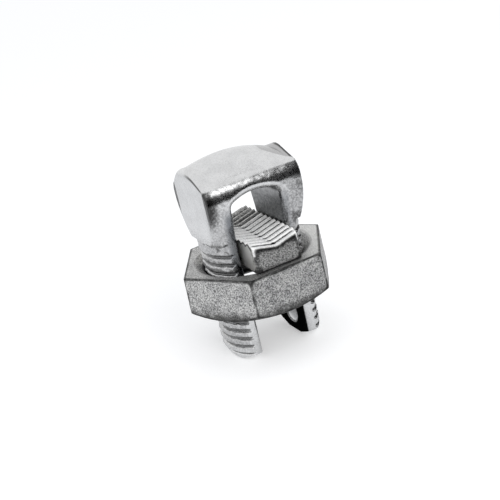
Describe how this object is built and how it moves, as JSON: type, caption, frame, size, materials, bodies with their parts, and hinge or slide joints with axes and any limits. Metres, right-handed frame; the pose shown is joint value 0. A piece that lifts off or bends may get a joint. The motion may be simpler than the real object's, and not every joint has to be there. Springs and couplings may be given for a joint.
{
  "type": "split bolt cable connector",
  "caption": "Split bolt connector: slotted bolt with a domed head and cable eye, ridged pressure bar sliding in the slot, and a hexagon nut that pushes the bar up.",
  "frame": {"origin": "centre of the bounding box in X and Y, on the level of the leg tips", "axes": "+X from leg to leg, +Y along the clamped cable, +Z along the bolt from the leg tips to the head"},
  "size_m": [0.0328, 0.0288, 0.0428],
  "materials": {
    "tinned_forging": "bright tin plating on a forged copper alloy",
    "cast_nut": "rough tinned casting",
    "cast_bar": "tinned casting with ridges worn bright"
  },
  "bodies": {
    "bolt": {"bolt_body": "tinned_forging"},
    "bar": {"pressure_bar": "cast_bar"},
    "nut": {"hex_nut": "cast_nut"}
  },
  "joints": [
    {"name": "bar_slide", "type": "slide", "parent": "bolt", "child": "bar", "axis": [0, 0, 1], "range_m": [-0.00727, 0.00364]},
    {"name": "nut_spin", "type": "hinge", "parent": "bar", "child": "nut", "pos_m": [0, 0, 0.0158], "axis": [0, 0, 1], "range_deg": [-1440, 720]}
  ],
  "couplings": [
    {"joint": "bar_slide", "follows": "nut_spin", "m_per_rad": 0.00028875}
  ]
}
